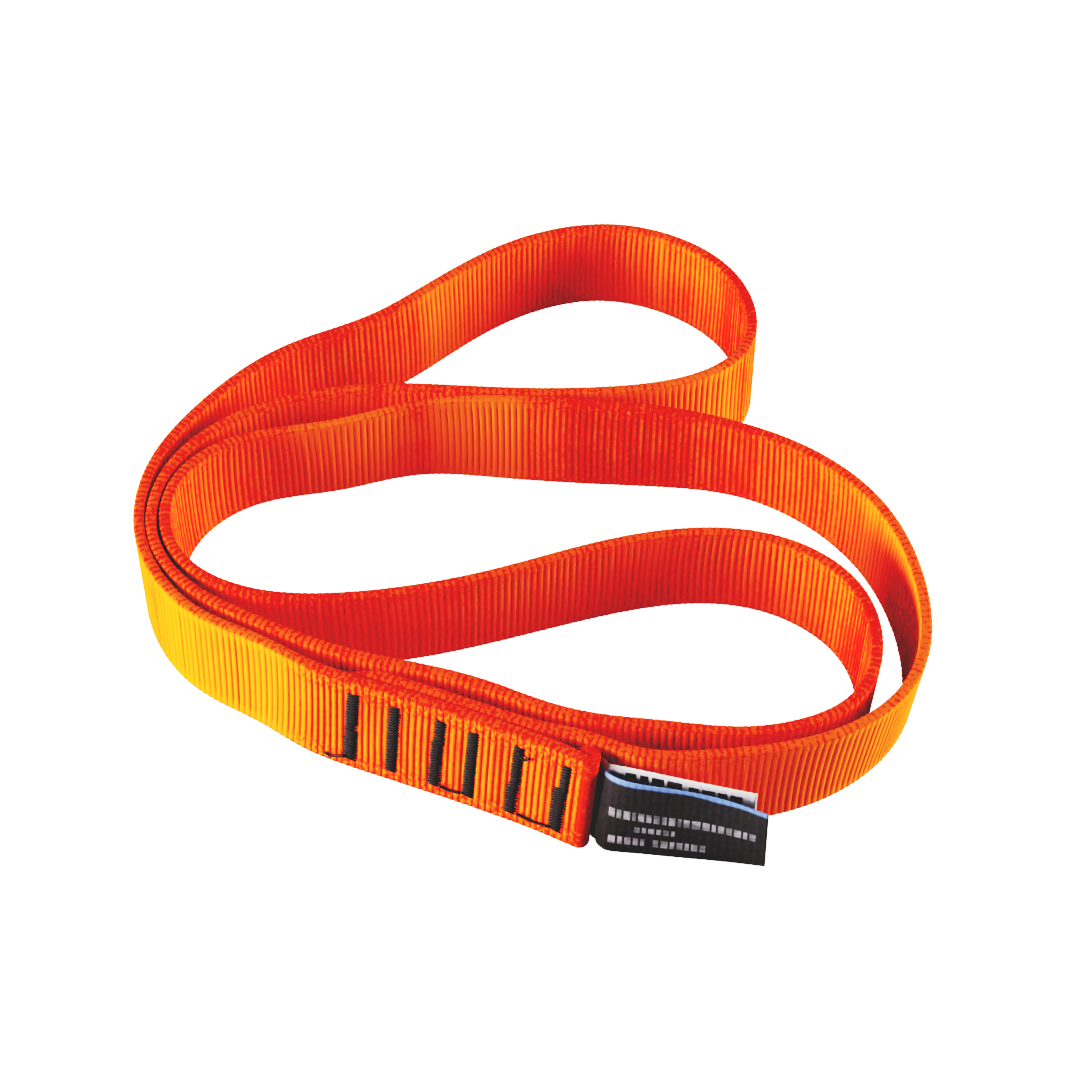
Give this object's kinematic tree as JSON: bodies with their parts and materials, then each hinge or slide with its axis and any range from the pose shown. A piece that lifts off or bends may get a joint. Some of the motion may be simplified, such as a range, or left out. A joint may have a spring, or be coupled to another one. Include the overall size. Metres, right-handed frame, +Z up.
{
  "type": "sewn webbing sling",
  "caption": "Closed band of flat webbing standing on its edge in loose folded lobes, with a bar-tacked splice and a small folded fabric label.",
  "frame": {"origin": "middle of the footprint, on the surface that the band stands on", "axes": "+Z up across the tape's width; +X to the right and +Y away for a viewer who faces the splice"},
  "size_m": [0.173, 0.1808, 0.025],
  "materials": {
    "tape": "woven polyamide, ribbed across, orange over red",
    "thread": "black polyamide sewing thread",
    "label_front": "black printed label tape with pale marks",
    "label_back": "white printed label tape with dark marks"
  },
  "bodies": {
    "root": {"tape_splice_outer_ply": "tape", "tape_splice_inner_ply": "tape", "tape_front_left_run": "tape", "tape_outer_bend_front": "tape", "tape_outer_bend_back": "tape", "tape_middle_bend_back": "tape", "tape_middle_bend_front": "tape", "tape_core_bend_front": "tape", "tape_core_bend_back": "tape", "tape_near_lobe_back_run": "tape", "tape_near_lobe_shoulder": "tape", "tape_near_lobe_right_bend": "tape", "tape_near_lobe_front_curve": "tape", "tape_near_lobe_front_run": "tape", "bar_tack_1": "thread", "bar_tack_2": "thread", "bar_tack_3": "thread", "bar_tack_4": "thread", "bar_tack_5": "thread", "bar_tack_6": "thread", "jump_thread_1": "thread", "jump_thread_2": "thread", "thread_end_1": "thread", "thread_end_2": "thread", "label_sewn_tab": "label_back"},
    "far_lobe": {"tape_far_lobe_outer_run": "tape", "tape_far_lobe_crown": "tape", "tape_far_lobe_right_bend": "tape", "tape_far_lobe_return_run": "tape", "tape_far_lobe_inner_run": "tape"},
    "inner_lobe": {"tape_inner_lobe_front_run": "tape", "tape_inner_lobe_front_curve": "tape", "tape_inner_lobe_right_bend": "tape", "tape_inner_lobe_crown": "tape", "tape_inner_lobe_back_run": "tape"},
    "label_front": {"label_front_leaf": "label_front"},
    "label_back": {"label_back_leaf": "label_back"}
  },
  "joints": [
    {"name": "far_lobe_swing", "type": "hinge", "parent": "root", "child": "far_lobe", "pos_m": [-0.07313, 0.02956, 0], "axis": [0, 0, 1], "range_deg": [0, 12]},
    {"name": "inner_lobe_swing", "type": "hinge", "parent": "root", "child": "inner_lobe", "pos_m": [-0.04013, -0.03194, 0], "axis": [0, 0, 1], "range_deg": [0, 10]},
    {"name": "label_front_flap", "type": "hinge", "parent": "root", "child": "label_front", "pos_m": [0.01517, -0.08004, 0.0108], "axis": [0, 0.2201, 0.9755], "range_deg": [-50, 0], "stiffness_Nm_per_rad": 0.0004},
    {"name": "label_back_flap", "type": "hinge", "parent": "root", "child": "label_back", "pos_m": [0.01517, -0.07944, 0.0108], "axis": [0, 0.2201, 0.9755], "range_deg": [0, 5], "stiffness_Nm_per_rad": 0.0004}
  ]
}
